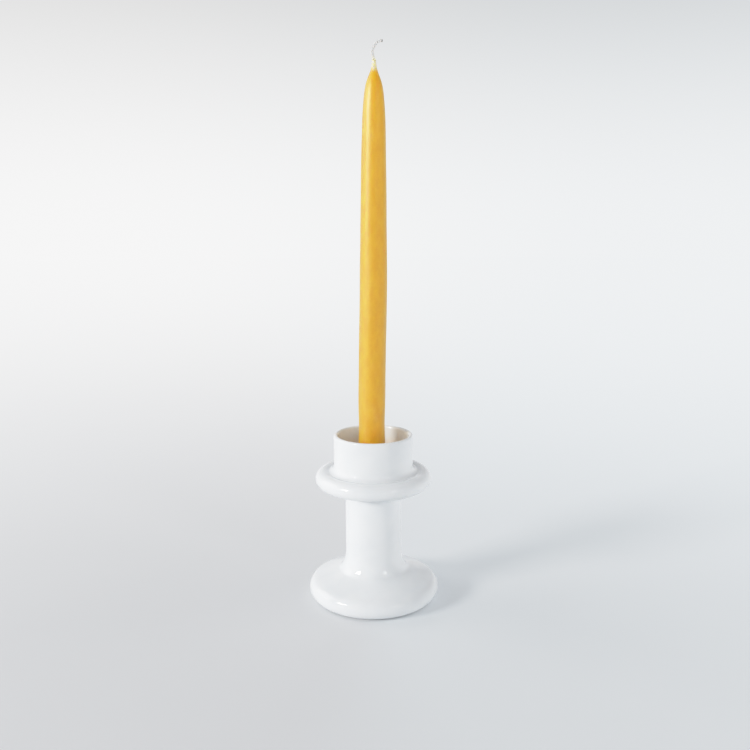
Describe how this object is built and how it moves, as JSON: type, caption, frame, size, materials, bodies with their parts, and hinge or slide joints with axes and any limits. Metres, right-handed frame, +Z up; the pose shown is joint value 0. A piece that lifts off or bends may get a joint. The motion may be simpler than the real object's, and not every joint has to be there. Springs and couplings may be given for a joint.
{
  "type": "candlestick",
  "caption": "White glazed ceramic candlestick with a domed base, straight stem, full-round collar and plain cup, holding a lift-out dipped beeswax taper with a curled wick.",
  "frame": {"origin": "middle of the foot ring's resting face, on the candlestick's axis", "axes": "+Z up along the candlestick's axis; the wick's loose end curls towards +X"},
  "size_m": [0.0972, 0.0972, 0.4022],
  "materials": {
    "white_glaze": "gloss",
    "beeswax": "satin",
    "cotton_wick": "matte"
  },
  "bodies": {
    "candlestick": {"candlestick_body": "white_glaze"},
    "taper": {"taper_candle": "beeswax", "wick": "cotton_wick"}
  },
  "joints": [
    {"name": "taper_lift", "type": "slide", "parent": "candlestick", "child": "taper", "axis": [0, 0, 1], "range_m": [0, 0.06]}
  ]
}
